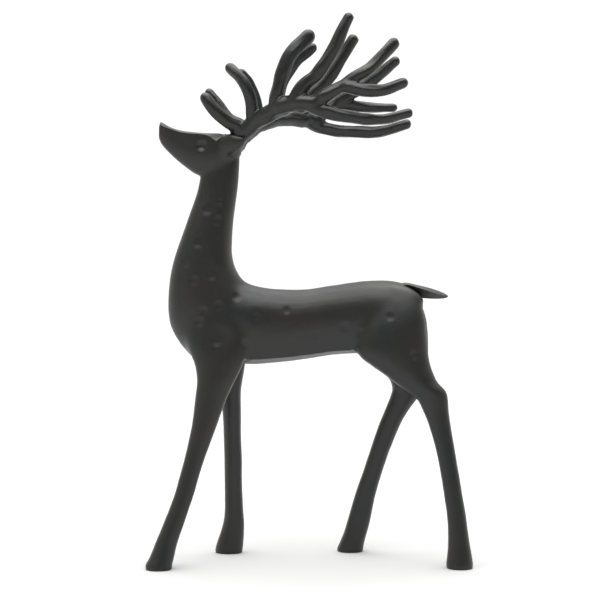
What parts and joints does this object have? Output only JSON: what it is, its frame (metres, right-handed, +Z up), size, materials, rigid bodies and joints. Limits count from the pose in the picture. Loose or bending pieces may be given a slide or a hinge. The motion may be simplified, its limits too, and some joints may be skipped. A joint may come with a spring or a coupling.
{
  "type": "standing stag figurine",
  "caption": "Striding cast iron stag with a raised head, branching antlers and a short tail, standing on flat hooves as an ornament.",
  "frame": {"origin": "on the floor, at the middle of the bounding box seen from above", "axes": "+Z up; the stag faces -X and its left side is towards -Y"},
  "size_m": [0.2825, 0.1299, 0.476],
  "materials": {
    "oiled_iron": "satin charcoal, faintly greenish, with shallow hammered dimples",
    "antler_iron": "satin charcoal, rough as bark"
  },
  "bodies": {
    "root": {"stag_body": "oiled_iron", "antler_left": "antler_iron", "antler_right": "antler_iron"}
  },
  "joints": []
}
